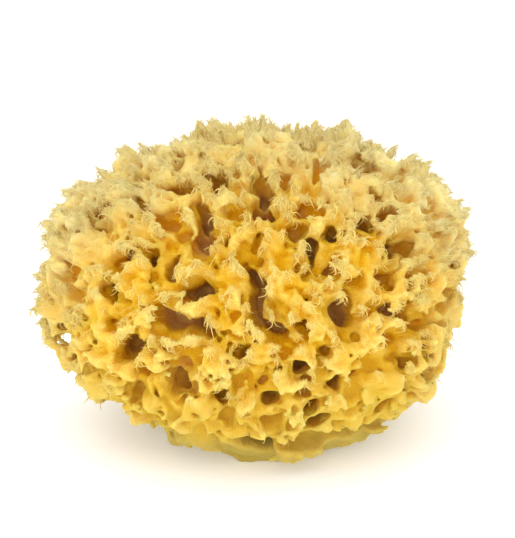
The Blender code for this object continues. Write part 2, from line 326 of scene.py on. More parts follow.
# Gaps that show white through the outermost tufts, in the photograph's pixels: x, y, width and height.
SEE_THROUGH = [(66, 325, 12, 8), (66, 339, 21, 14), (448, 265, 14, 8)]

# How much lighter a strand is at its end than the skin round its root, as a step on the scale of tones.
STRAND_LIGHTER = 0.30

# The flesh's colours, linear, from its thinnest places at 0 to its most solid: partly its own tone, partly
# painted shade that darkens the places enclosed by flesh.
TONES_AND_PAINTED_SHADE = [
    (0.0, (0.94, 0.74, 0.22, 1)),
    (0.20, (0.83, 0.545, 0.094, 1)),
    (0.36, (0.80, 0.495, 0.050, 1)),
    (0.53, (0.76, 0.43, 0.012, 1)),
    (0.70, (0.73, 0.37, 0.004, 1)),
    (0.88, (0.84, 0.42, 0.012, 1)),
]
LOW_BODY = (0.58, 0.41, 0.06, 1)
LIP_OLIVE = (0.47, 0.36, 0.08, 1)
# Painted shade: a darker brown down inside the hollows.
HOLLOW_PAINTED_SHADE = (0.70, 0.37, 0.095, 1)
# Straw towards the sides, lighter on the crown and at the outline: partly the flesh's own tone, partly
# painted light.
SIDE_STRAW = (0.67, 0.51, 0.17, 1)
CROWN_STRAW_AND_PAINTED_LIGHT = (0.80, 0.66, 0.28, 1)
EDGE_STRAW_AND_PAINTED_LIGHT = (0.80, 0.70, 0.35, 1)

# A fibre is a tube of this many sides and segments. These are its inputs, apart from how densely it stands.
FIBRE_SIDES = 3
FIBRE_SEGMENTS = 3
FIBRE_INPUTS = ("Length", "Thickness", "Hook", "Spread", "Seed")

# The camera's sensor in millimetres, and the photograph's height in pixels.
SENSOR = 36.0
PHOTO_HEIGHT = 538

# How many triangles the skin keeps, the grid that its field lives on, and how far from it the field counts.
SKIN_TRIANGLES = 194000
CELL = 0.0006
FIELD_REACH = 0.003
GRID_LOW = np.array([-0.0785, -0.0665, -0.0028])
GRID_HIGH = np.array([0.0785, 0.0665, 0.1065])
GRID_COUNT = np.ceil((GRID_HIGH - GRID_LOW) / CELL).astype(int) + 1
GRID_LINES = [(GRID_LOW[k] + CELL * np.arange(GRID_COUNT[k])).astype(np.float32) for k in range(3)]
RNG = np.random.default_rng(SEED)


def spline_weights(places, low, wavelength):
    """The quadratic B-spline weights that read a coarse lattice at these places."""
    t = (places - low) / wavelength
    cell = np.floor(t).astype(int)
    f = t - cell
    weights = np.zeros((len(places), int(cell.max()) + 4), np.float32)
    rows = np.arange(len(places))
    weights[rows, cell] = 0.5 * (1 - f) ** 2
    weights[rows, cell + 1] = 0.5 + f * (1 - f)
    weights[rows, cell + 2] = 0.5 * f ** 2
    return weights


def soft_noise(wavelength):
    """Smooth random values on the grid, mostly between -1 and 1."""
    weights = [spline_weights(GRID_LINES[k], GRID_LOW[k], wavelength) for k in range(3)]
    lattice = RNG.standard_normal([w.shape[1] for w in weights]).astype(np.float32)
    values = np.tensordot(weights[0], lattice, (1, 0))
    values = np.tensordot(values, weights[1], (1, 1))
    return np.tensordot(values, weights[2], (1, 1)) * 1.9


def join(a, b, blend):
    """The smaller of two fields, with a soft fillet where they meet."""
    h = np.clip(0.5 + 0.5 * (b - a) / blend, 0, 1)
    return b + (a - b) * h - blend * h * (1 - h)


def carve(a, b, blend):
    """Field a less the shape of field b, with a soft rim."""
    return -join(-a, b, blend)


def window(centre, reach):
    """The part of the grid within this reach of a point."""
    low = np.clip(np.floor((np.array(centre) - reach - GRID_LOW) / CELL).astype(int), 0, GRID_COUNT)
    high = np.clip(np.ceil((np.array(centre) + reach - GRID_LOW) / CELL).astype(int) + 1, 0, GRID_COUNT)
    return tuple(slice(a, b) for a, b in zip(low, high))


def measured(places, box, origin, *axes):
    """Distances from a point along each of these axes, over one window of the grid."""
    x, y, z = (place[box] - start for place, start in zip(places, origin))
    return [x * axis.x + y * axis.y + z * axis.z for axis in axes]


def random_vector(chance, size):
    return Vector([chance.uniform(-size, size) for _ in range(3)])


def body_field(x, y, z):
    """Signed distance to the body between its tufts, and height above it as a share of the tufts' height."""
    dx, dy, dz = x - MIDDLE.x, y - MIDDLE.y, z - MIDDLE.z
    away = np.sqrt(dx * dx + dy * dy + dz * dz) + 1e-9
    ux, uy, uz = dx / away, dy / away, dz / away
    reach = 1 / np.sqrt((ux / (WIDTH / 2)) ** 2 + (uy / (DEPTH / 2)) ** 2 + (uz / CROWN_RISE) ** 2)
    swelling = np.ones_like(away)
    for middle, size, sharp in SWELLS:
        d = middle.normalized()
        swelling += size * np.exp(sharp * (ux * d.x + uy * d.y + uz * d.z - 1))
    t = np.clip((uz + 0.45) / 0.45, 0, 1)
    tall = BASE_TUFT + (CROWN_TUFT - BASE_TUFT) * t * t * (3 - 2 * t)
    above = away - (reach * swelling - tall)
    return (above + VALLEY * tall) * 0.93, above / tall


def tuft_shape(direction, root, radius, chance):
    """The height, axes and points of one tuft, drawn in the same order as for the solid."""
    height = tuft_height(direction) * chance.uniform(0.82, 1.08)
    out = (normal_at(direction) + random_vector(chance, TUFT_LEAN)).normalized()
    side = out.orthogonal().normalized()
    up = out.cross(side)
    turn = chance.uniform(0.0, math.pi)
    lobes = []
    for n in range(2 * TUFT_POINTS):
        stand = POINT_SPREAD if n % 2 else -POINT_SPREAD
        lobes.append(1.0 + stand + chance.uniform(-RAGGED, RAGGED))
    return {
        "root": root, "radius": radius, "height": height, "out": out, "side": side, "up": up, "turn": turn,
        "lobes": lobes, "crown": crownness(direction),
    }


def grow_tuft(field, places, tuft):
    """A flared pillar with a torn cup at its end."""
    height, radius = tuft["height"], tuft["radius"]
    if tuft["root"].z < LIP_HEIGHT + LIP_MARGIN:
        height *= 0.6
    box = window(tuft["root"], height * 1.3 + radius * 1.5)
    across, along, rise = measured(places, box, tuft["root"], tuft["side"], tuft["up"], tuft["out"])
    sag = HEAD_SAG * tuft["crown"] * max(0.2, 1 - 1.3 * max(0.0, tuft["out"].z))
    drop = sag * np.clip(rise / height, 0, 1.2) ** 2
    across = across + drop * tuft["side"].z
    along = along + drop * tuft["up"].z
    rise = rise + drop * tuft["out"].z
    count = len(tuft["lobes"])
    angles = np.arange(count) * (2 * math.pi / count) + tuft["turn"]
    lobe = np.interp(np.arctan2(along, across), angles, tuft["lobes"], period=2 * math.pi).astype(np.float32)
    away = np.sqrt(across * across + along * along)
    rises, spreads = zip(*HEAD_PROFILE)
    width = radius * np.interp(rise / height, rises, spreads).astype(np.float32) * lobe
    top = height * (0.5 + 0.5 * lobe) * (0.62 + 0.12 * np.clip(away / (radius * 0.9), 0, 1) ** 2)
    field[box] = join(field[box], carve(away - width, top - rise, FILLET), FILLET)


def grow_cone(field, places, base, tip, sag, base_radius, tip_radius, blend):
    """A tapering finger from base to tip that bends by sag at its tip."""
    axis = tip - base
    length = axis.length
    axis = axis / length
    box = window((base + tip) / 2, length / 2 + base_radius * 2 + sag.length)
    x, y, z = (place[box] - start for place, start in zip(places, base))
    t = np.clip((x * axis.x + y * axis.y + z * axis.z) / length, 0, 1)
    bend = t * t
    x = x - axis.x * length * t - sag.x * bend
    y = y - axis.y * length * t - sag.y * bend
    z = z - axis.z * length * t - sag.z * bend
    d = np.sqrt(x * x + y * y + z * z) - (base_radius + (tip_radius - base_radius) * t)
    field[box] = join(field[box], d, blend)


def grow_fingers(field, places, tuft, chance):
    """Frayed fingers round the rim of a tuft's cup."""
    count = chance.randint(6, 9) if tuft["crown"] > 0.5 else chance.randint(3, 5)
    scale = 0.45 + 0.55 * tuft["crown"]
    for n in range(count):
        angle = 2 * math.pi * (n + chance.uniform(-0.35, 0.35)) / count
        radial = tuft["side"] * math.cos(angle) + tuft["up"] * math.sin(angle)
        inset = chance.uniform(0.45, 1.05)
        base = tuft["root"] + tuft["out"] * tuft["height"] * chance.uniform(0.25, 0.55)
        base += radial * tuft["radius"] * inset
        way = (tuft["out"] + radial * inset * 1.5 + random_vector(chance, 0.35)).normalized()
        length = chance.uniform(0.0014, 0.0030) * scale
        sag = random_vector(chance, 0.0012) + Vector((0.0, 0.0, -0.0008))
        base_radius = chance.uniform(0.0009, 0.0013)
        grow_cone(field, places, base, base + way * length, sag * scale, base_radius, 0.00035, 0.0010)


def grow_wall(field, places, one, other, thick, sag):
    """A wall from the body up between two tufts, lowest half way."""
    line = other["root"] - one["root"]
    length = line.length
    line /= length
    out = (one["out"] + other["out"]).normalized()
    out = (out - line * out.dot(line)).normalized()
    across = line.cross(out)
    height = min(one["height"], other["height"])
    middle = (one["root"] + other["root"]) / 2
    box = window(middle, length / 2 + height)
    aside, along, rise = measured(places, box, middle, across, line, out)
    share = np.clip(np.abs(along) / (length / 2), 0, 1)
    top = height * (0.50 - sag * (1 - share * share))
    aside = aside + thick * 0.9 * np.sin(along * 900.0 + length * 4000.0)
    width = thick * (1.5 - 0.5 * np.clip(rise / height, 0, 1))
    d = np.maximum(carve(np.abs(aside) - width, top - rise, RIM), np.abs(along) - length / 2)
    d = np.maximum(d, -rise - 0.003)
    field[box] = join(field[box], d, FILLET)


def grow_walls(field, places, tufts, chance):
    """Walls between tufts that stand next to each other, so that pits lie between them."""
    for n, one in enumerate(tufts):
        for other in tufts[n + 1:]:
            gap = (one["root"] - other["root"]).length
            if gap > one["radius"] + other["radius"] + WALL_REACH or chance.random() < WALLS_LEFT_OUT:
                continue
            grow_wall(field, places, one, other, chance.uniform(0.0010, 0.0018), chance.uniform(0.15, 0.45))


def grow_buds(field, places, chance):
    """Small knobs that fill the bare stretches between the tufts."""
    for direction in even_directions(BUDS):
        direction = (direction + random_vector(chance, 0.05)).normalized()
        if smooth_lip(direction) or floor_point(direction).z < LIP_HEIGHT:
            continue
        height = tuft_height(direction)
        base = floor_point(direction) - normal_at(direction) * 0.0015
        way = (normal_at(direction) + random_vector(chance, 0.5)).normalized()
        length = 0.0015 + height * chance.uniform(0.05, 0.45)
        thick = chance.uniform(0.0011, 0.0022) * (0.7 + 0.3 * crownness(direction))
        sag = random_vector(chance, 0.0010)
        grow_cone(field, places, base, base + way * length, sag, thick * 1.3, thick * 0.7, 0.0020)


def carve_hole(field, places, h, chance):
    """A hollow with an uneven outline that narrows inwards."""
    side, inward = h["across"], h["in"]
    up = side.cross(inward)
    depth = h["depth"] * HOLLOW_DEPTH
    middle = h["at"] + inward * (depth - FUNNEL_START) / 2
    wider = HOLLOW_WIDER if h["depth"] > SHALLOW else HOLLOW_LESS_WIDER
    half_width, half_height = h["half_width"] + wider, h["half_height"] + wider
    widest = max(half_width, half_height) * 1.3
    box = window(middle, (depth + FUNNEL_START) / 2 + widest + 0.005)
    across, along, run = measured(places, box, h["at"], side, up, inward)
    if in_photograph(h["at"] - MIDDLE):
        # Outside the body the hollow follows the line of sight, so that no tuft hides it.
        forward = view_axes()[2]
        nearer = np.maximum(-run, 0) / max(0.5, forward.dot(inward))
        across = across + nearer * forward.dot(side)
        along = along + nearer * forward.dot(up)
    across, along = across / half_width, along / half_height
    share = np.clip(run / depth, -0.7, 1)
    taper = np.where(share < 0, 1 - 0.5 * share, 1 - 0.4 * share * share)
    angle = np.arctan2(along, across) + run * chance.uniform(-120, 120)
    two, three = chance.uniform(0, 2 * math.pi), chance.uniform(0, 2 * math.pi)
    uneven = 1 + 0.12 * np.sin(2 * angle + two) + 0.10 * np.sin(3 * angle + three)
    d = (np.sqrt(across ** 2 + along ** 2) - taper * uneven) * min(half_width, half_height)
    d = np.maximum(np.maximum(d, run - depth), -run - FUNNEL_START)
    field[box] = carve(field[box], d, RIM)


def carve_groove(field, places):
    """The hollow that parts the smooth lip from the body above it."""
    steps = 48
    for n in range(steps + 1):
        share = n / steps
        angle = GROOVE_FROM + (GROOVE_TO - GROOVE_FROM) * share
        out = Vector((math.cos(angle), math.sin(angle), 0.0))
        centre = floor_point(Vector((out.x, out.y, GROOVE_DIP))) + out * 0.0012
        radius = GROOVE_RADIUS * (0.15 + 0.95 * math.sin(math.pi * share) ** 0.5)
        box = window(centre, radius * 2 + 0.003)
        x, y, z = (place[box] - start for place, start in zip(places, centre))
        inward = x * out.x + y * out.y
        aside = x * out.y - y * out.x
        d = np.sqrt((inward / 1.9) ** 2 + aside * aside + z * z) - radius
        field[box] = carve(field[box], d, RIM)


def carve_gaps(field, places):
    """Openings right through the outermost tufts, along the photograph's lines of sight."""
    right, up, _ = view_axes()
    for x, y, width, height in SEE_THROUGH:
        eye, ray = line_of_sight(x, y)
        middle = eye + ray * (MIDDLE - eye).dot(ray)
        box = window(middle, 0.030)
        across, along, run = measured(places, box, middle, right, up, ray)
        half_width, half_height = width / 2 / PIXELS_PER_METRE, height / 2 / PIXELS_PER_METRE
        away = np.sqrt((across / half_width) ** 2 + (along / half_height) ** 2)
        d = (away - 1) * min(half_width, half_height)
        field[box] = carve(field[box], np.maximum(d, np.abs(run) - 0.028), 0.0006)


def smooth_lip(direction):
    """Whether this direction meets the smooth lip or the belly just above it."""
    point = floor_point(direction)
    return point.z < LIP_HEIGHT + LIP_MARGIN and point.x > -0.025 and point.y < 0.02


def carve_bubbles(field, places, chance):
    """Small hollows all through the tufted layer, longer along the way they grew."""
    for direction in even_directions(BUBBLES):
        direction = (direction + random_vector(chance, 0.04)).normalized()
        if smooth_lip(direction):
            continue
        crown = crownness(direction)
        height = tuft_height(direction)
        normal = normal_at(direction)
        centre = floor_point(direction) + normal * height * chance.uniform(-0.15, 1.0)
        radius = chance.uniform(0.0008, 0.0019) * (0.75 + 0.25 * crown)
        stretch = chance.uniform(1.0, 2.0)
        axis = (normal + random_vector(chance, 0.7)).normalized()
        box = window(centre, radius * stretch + 0.001)
        x, y, z = (place[box] - start for place, start in zip(places, centre))
        t = x * axis.x + y * axis.y + z * axis.z
        across = np.maximum(x * x + y * y + z * z - t * t, 0)
        d = np.sqrt(across + (t / stretch) ** 2) - radius
        field[box] = carve(field[box], d, FINE_RIM)


def carve_pores(field, places, chance):
    """Fine pores that run a little way in, closest together on the lower body."""
    for direction in even_directions(PORES):
        direction = (direction + random_vector(chance, 0.05)).normalized()
        crown = crownness(direction)
        if chance.random() < 0.2 + 0.55 * crown or smooth_lip(direction):
            continue
        normal = normal_at(direction)
        start = floor_point(direction) + normal * chance.uniform(-0.001, 0.8) * tuft_height(direction)
        inward = (random_vector(chance, 0.6) - normal).normalized()
        radius = chance.uniform(0.0006, 0.0014 - 0.0003 * crown)
        length = chance.uniform(0.002, 0.005)
        box = window(start, length + 0.002)
        x, y, z = (place[box] - begin for place, begin in zip(places, start))
        t = x * inward.x + y * inward.y + z * inward.z
        away = np.sqrt(np.maximum(x * x + y * y + z * z - t * t, 0))
        d = away - radius * np.clip(1.1 - 0.3 * t / length, 0.3, 1.6)
        d = np.maximum(d, np.abs(t) - length)
        field[box] = carve(field[box], d, FINE_RIM)


def fray(field, share, x, y, z):
    """Cuts the ends of the tufts into strands: noise that is long along the radius and short across it."""
    band = np.abs(field) < FIELD_REACH
    away = np.sqrt((x[band] - MIDDLE.x) ** 2 + (y[band] - MIDDLE.y) ** 2 + (z[band] - MIDDLE.z) ** 2)
    scale = 0.060 / away
    flat = [(axis[band] - start) * scale for axis, start in zip((x, y, z), MIDDLE)]
    lattice = RNG.standard_normal((64, 64, 64)).astype(np.float32)
    total = 0
    for wavelength, stretch in FRAYS:
        run = away / stretch
        spots = [flat[0] / wavelength + run, flat[1] / wavelength, flat[2] / wavelength - run]
        total = total + FRAY_WEIGHT * lattice_noise(lattice, spots)
    rise = np.clip(share[band], 0, 1)
    rough = np.clip((z[band] - 0.018) / 0.036, 0.20, 1)
    field[band] -= (0.00022 + 0.00120 * rise ** 1.2) * rough * total


def lattice_noise(lattice, spots):
    """Smoothly blended values of a repeating lattice at these spots."""
    cells = [np.floor(s).astype(int) for s in spots]
    parts = [s - c for s, c in zip(spots, cells)]
    parts = [p * p * (3 - 2 * p) for p in parts]
    size = lattice.shape[0]
    total = 0
    for corner in np.ndindex(2, 2, 2):
        weight = 1
        for p, c in zip(parts, corner):
            weight = weight * (p if c else 1 - p)
        index = tuple((c + o) % size for c, o in zip(cells, corner))
        total = total + weight * lattice[index]
    return total


def sponge_field():
    x, y, z = np.meshgrid(*GRID_LINES, indexing="ij")
    field, share = body_field(x, y, z)
    holes = all_holes()
    sites = tuft_sites(holes)
    chance = random.Random(SEED)
    tufts = [tuft_shape(*site, chance) for site in sites]
    shift = [soft_noise(0.0080) * 0.0010 + soft_noise(0.0030) * 0.0005 for _ in range(3)]
    bent = [axis + s for axis, s in zip((x, y, z), shift)]
    for tuft in tufts:
        grow_tuft(field, bent, tuft)
    grow_walls(field, bent, tufts, chance)
    grow_buds(field, bent, chance)
    for tuft in tufts:
        if tuft["root"].z > LIP_HEIGHT + LIP_MARGIN:
            grow_fingers(field, bent, tuft, chance)
    field -= np.clip(np.abs(soft_noise(0.0060)) - 0.25, 0, 1).astype(np.float32) * 0.0014
    for n, h in enumerate(holes):
        carve_hole(field, bent, h, random.Random(n))
    carve_bubbles(field, bent, chance)
    carve_pores(field, bent, chance)
    carve_groove(field, (x, y, z))
    fray(field, share, x, y, z)
    carve_gaps(field, (x, y, z))
    field -= soft_noise(0.0016) * 0.00016
    return np.maximum(field, -z), share


def spread_out(values, reach):
    """A box blur over the grid, done twice."""
    for axis in (0, 1, 2, 0, 1, 2):
        pads = [(reach + 1, reach) if k == axis else (0, 0) for k in range(3)]
        running = np.cumsum(np.pad(values, pads, mode="edge"), axis=axis, dtype=np.float64)
        count = values.shape[axis]
        high = np.take(running, np.arange(2 * reach + 1, 2 * reach + 1 + count), axis=axis)
        low = np.take(running, np.arange(count), axis=axis)
        values = ((high - low) / (2 * reach + 1)).astype(np.float32)
    return values


def read_at(values, points):
    """A grid's values at these points, blended between its cells."""
    spots = np.clip((points - GRID_LOW) / CELL, 0, GRID_COUNT - 1.001)
    cell = spots.astype(int)
    part = spots - cell
    total = 0
    for corner in np.ndindex(2, 2, 2):
        weight = 1
        for k, c in enumerate(corner):
            weight = weight * (part[:, k] if c else 1 - part[:, k])
        total = total + weight * values[tuple((cell + corner).T)]
    return total


def largest_piece(points, triangles):
    """The largest connected part of a mesh, so that no loose crumb or closed bubble stays."""
    labels = np.arange(len(points))
    ends = triangles[:, [0, 1, 1, 2]].reshape(-1, 2)
    while True:
        pairs = np.sort(labels[ends], axis=1)
        pairs = pairs[pairs[:, 0] != pairs[:, 1]]
        if not len(pairs):
            break
        labels[pairs[:, 1]] = pairs[:, 0]
        while np.any(labels != labels[labels]):
            labels = labels[labels]
    keep = labels == np.bincount(labels).argmax()
    renumbered = np.cumsum(keep) - 1
    return points[keep], renumbered[triangles[keep[triangles[:, 0]]]].astype(np.int32)


def skin_object():
    field, share = sponge_field()
    grid = openvdb.FloatGrid(background=FIELD_REACH)
    grid.copyFromArray(np.clip(field, -FIELD_REACH, FIELD_REACH))
    points, _, quads = grid.convertToPolygons(isovalue=0.0, adaptivity=0.0)
    points = GRID_LOW + points * CELL
    triangles = np.concatenate([quads[:, [0, 1, 2]], quads[:, [0, 2, 3]]]).astype(np.int32)
    points, triangles = largest_piece(points, triangles)
    mesh = bpy.data.meshes.new("skin")
    mesh.vertices.add(len(points))
    mesh.vertices.foreach_set("co", points.astype(np.float32).ravel())
    mesh.loops.add(len(triangles) * 3)
    mesh.loops.foreach_set("vertex_index", triangles.ravel())
    mesh.polygons.add(len(triangles))
    mesh.polygons.foreach_set("loop_start", np.arange(0, len(triangles) * 3, 3, dtype=np.int32))
    mesh.update(calc_edges=True)
    solid = (field < 0).astype(np.float32)
    for name, values in (("near", spread_out(solid, 2)), ("wide", spread_out(solid, 6)), ("share", share)):
        store(mesh, name, read_at(values, points))
    skin = new_object("sponge_skin", mesh)
    thin = skin.modifiers.new("thin", "DECIMATE")
    thin.ratio = SKIN_TRIANGLES / len(triangles)
    settle(skin)
    skin.data.shade_smooth()
    return skin


def new_object(name, mesh):
    obj = bpy.data.objects.new(name, mesh)
    bpy.context.scene.collection.objects.link(obj)
    return obj


def settle(obj):
    """Turns what the modifiers give into the object's plain mesh."""
    bpy.context.view_layer.update()
    mesh = bpy.data.meshes.new_from_object(obj.evaluated_get(bpy.context.evaluated_depsgraph_get()))
    obj.modifiers.clear()
    obj.data = mesh


def store(mesh, name, values):
    """Keeps one value, or one vector, for each point of the mesh."""
    kind, part = ("FLOAT", "value") if values.ndim == 1 else ("FLOAT_VECTOR", "vector")
    attribute = mesh.attributes.get(name) or mesh.attributes.new(name, kind, "POINT")
    attribute.data.foreach_set(part, values.astype(np.float32).ravel())


def numbers(items, name, width=1, kind=np.float32):
    """One property of each item as an array, in rows where it is wider than one number."""
    values = np.empty(len(items) * width, kind)
    items.foreach_get(name, values)
    return values.reshape(-1, width) if width > 1 else values


def tone_group():
    """The sponge's colour: cream tips, then gold and amber, brown in the hollows, straw at the sides, with
    painted shade in the enclosed places and hollows and painted light on the crown, the outline and the tips.
    """
    tree = bpy.data.node_groups.new("sponge_tones_light_and_shade", "ShaderNodeTree")
    tree.interface.new_socket("Lighter", in_out="INPUT", socket_type="NodeSocketFloat")
    tree.interface.new_socket("Color", in_out="OUTPUT", socket_type="NodeSocketColor")
    tree.interface.new_socket("Height", in_out="OUTPUT", socket_type="NodeSocketFloat")
    nodes, links = tree.nodes, tree.links
    given = nodes.new("NodeGroupInput").outputs

    def attribute(name):
        node = nodes.new("ShaderNodeAttribute")
        node.attribute_name = name
        return node.outputs["Fac"]

    def maths(operation, a, b):
        node = nodes.new("ShaderNodeMath")
        node.operation = operation
        for socket, value in zip(node.inputs, (a, b)):
            if isinstance(value, (int, float)):
                socket.default_value = value
            else:
                links.new(value, socket)
        return node.outputs[0]

    def plus(a, b):
        return maths("ADD", a, b)

    def less(a, b):
        return maths("SUBTRACT", a, b)

    def times(a, b):
        return maths("MULTIPLY", a, b)

    place = nodes.new("ShaderNodeTexCoord").outputs["Object"]

    def noise(scale, detail, where=place):
        node = nodes.new("ShaderNodeTexNoise")
        node.inputs["Scale"].default_value = scale
        node.inputs["Detail"].default_value = detail
        links.new(where, node.inputs["Vector"])
        return maths("SUBTRACT", node.outputs["Fac"], 0.5)

    def vector_maths(operation, a, b=None, scale=None):
        node = nodes.new("ShaderNodeVectorMath")
        node.operation = operation
        for socket, value in zip(node.inputs, (a, b)):
            if isinstance(value, (tuple, Vector)):
                socket.default_value = value
            elif value is not None:
                links.new(value, socket)
        if scale is not None:
            node.inputs["Scale"].default_value = scale
        return node.outputs["Value" if operation == "LENGTH" else "Vector"]

    def between(value, low, high):
        node = nodes.new("ShaderNodeMapRange")
        node.inputs["From Min"].default_value, node.inputs["From Max"].default_value = low, high
        links.new(value, node.inputs["Value"])
        return node.outputs["Result"]

    def mix(amount, a, b):
        node = nodes.new("ShaderNodeMix")
        node.data_type = "RGBA"
        links.new(amount, node.inputs["Factor"])
        for socket, value in ((node.inputs[6], a), (node.inputs[7], b)):
            if isinstance(value, tuple):
                socket.default_value = value
            else:
                links.new(value, socket)
        return node.outputs[2]

    # Streaks that run outwards, as the strands of the flesh do: angles count for more than the radius.
    offset = vector_maths("SUBTRACT", place, MIDDLE)
    run = vector_maths("SCALE", vector_maths("NORMALIZE", offset), scale=STREAK_SCALE)
    streaks = noise(1.0, 3, vector_maths("ADD", run, vector_maths("SCALE", offset, scale=STREAK_STRETCH)))
    grain = noise(2400, 3)
    # Painted shade: the ramp runs darker and more amber where the skin is enclosed by flesh, read from the
    # blurred solid round it. The noise and streaks add the flesh's own uneven tone.
    deep = plus(attribute("wide"), times(less(attribute("near"), 0.5), 0.35))
    deep = plus(deep, times(noise(70, 2), 0.35))
    deep = plus(deep, times(noise(420, 3), 0.30))
    deep = plus(deep, times(streaks, 0.35))
    deep = less(deep, given["Lighter"])
    ramp = nodes.new("ShaderNodeValToRGB")
    stops = ramp.color_ramp.elements
    stops[0].position, stops[0].color = TONES_AND_PAINTED_SHADE[0]
    stops[1].position, stops[1].color = TONES_AND_PAINTED_SHADE[-1]
    for level, colour in TONES_AND_PAINTED_SHADE[1:-1]:
        stops.new(level).color = colour
    links.new(deep, ramp.inputs["Fac"])
    height = nodes.new("ShaderNodeSeparateXYZ")
    links.new(place, height.inputs[0])
    foot = plus(height.outputs["Z"], times(noise(60, 2), 0.012))
    on_foot = between(foot, 0.016, 0.009)
    low = times(between(foot, 0.048, 0.018), 0.55)
    colour = mix(low, ramp.outputs["Color"], LOW_BODY)
    # Paler and greener towards the crown and the sides, and on the ends of the tufts: partly the flesh's own
    # straw tone, partly painted light that lightens the top, the outline and the tips.
    flat = vector_maths("MULTIPLY", offset, (1.08 / (WIDTH / 2), 0.0, 1 / CROWN_RISE))
    rim = plus(vector_maths("LENGTH", flat), times(noise(90, 2), 0.4))
    raised = less(height.outputs["Z"], MIDDLE.z)
    rim = plus(rim, times(raised, 0.08 / CROWN_RISE))
    outer = between(rim, 0.75, 1.10)
    inner = less(1.0, times(outer, 0.6))
    # Painted shade: darker brown below the body's floor, inside the hollows, weaker towards the outline and
    # fading out low down.
    hollow_shade_mask = times(between(attribute("share"), -0.45, -1.3), inner)
    colour = mix(times(hollow_shade_mask, between(foot, 0.024, 0.044)), colour, HOLLOW_PAINTED_SHADE)
    ends = between(attribute("share"), 0.30, 1.20)
    pale_and_painted_light = times(times(outer, 0.88), between(deep, 0.95, 0.50))
    pale_and_painted_light = plus(pale_and_painted_light, times(times(ends, 0.08), between(deep, 0.56, 0.28)))
    straw = mix(between(height.outputs["Z"], 0.052, 0.080), SIDE_STRAW, CROWN_STRAW_AND_PAINTED_LIGHT)
    straw = mix(between(rim, 1.02, 1.35), straw, EDGE_STRAW_AND_PAINTED_LIGHT)
    colour = mix(pale_and_painted_light, colour, straw)
    colour = mix(times(on_foot, 0.85), colour, LIP_OLIVE)
    result = nodes.new("NodeGroupOutput")
    links.new(colour, result.inputs["Color"])
    relief = plus(times(streaks, 1.6), times(grain, 0.5))
    links.new(relief, result.inputs["Height"])
    return tree


def sponge_material(name, tones, lighter, along_strand):
    """Matt springy flesh. A strand gets lighter from its root to its end."""
    material = bpy.data.materials.new(name)
    material.use_nodes = True
    nodes, links = material.node_tree.nodes, material.node_tree.links
    shader = nodes["Principled BSDF"]
    shader.inputs["Roughness"].default_value = 0.9
    shader.inputs["Specular IOR Level"].default_value = 0.06
    tone = nodes.new("ShaderNodeGroup")
    tone.node_tree = tones
    tone.inputs["Lighter"].default_value = lighter
    if along_strand:
        along = nodes.new("ShaderNodeAttribute")
        along.attribute_name = "along"
        scale = nodes.new("ShaderNodeMath")
        scale.operation = "MULTIPLY"
        scale.inputs[1].default_value = lighter
        links.new(along.outputs["Fac"], scale.inputs[0])
        links.new(scale.outputs[0], tone.inputs["Lighter"])
    else:
        shader.inputs["Subsurface Weight"].default_value = 0.75
        shader.inputs["Subsurface Radius"].default_value = (1.0, 0.75, 0.20)
        shader.inputs["Subsurface Scale"].default_value = 0.005
        bump = nodes.new("ShaderNodeBump")
        bump.inputs["Strength"].default_value = 0.7
        bump.inputs["Distance"].default_value = 0.0006
        links.new(tone.outputs["Height"], bump.inputs["Height"])
        links.new(bump.outputs["Normal"], shader.inputs["Normal"])
    links.new(tone.outputs["Color"], shader.inputs["Base Color"])
    return material


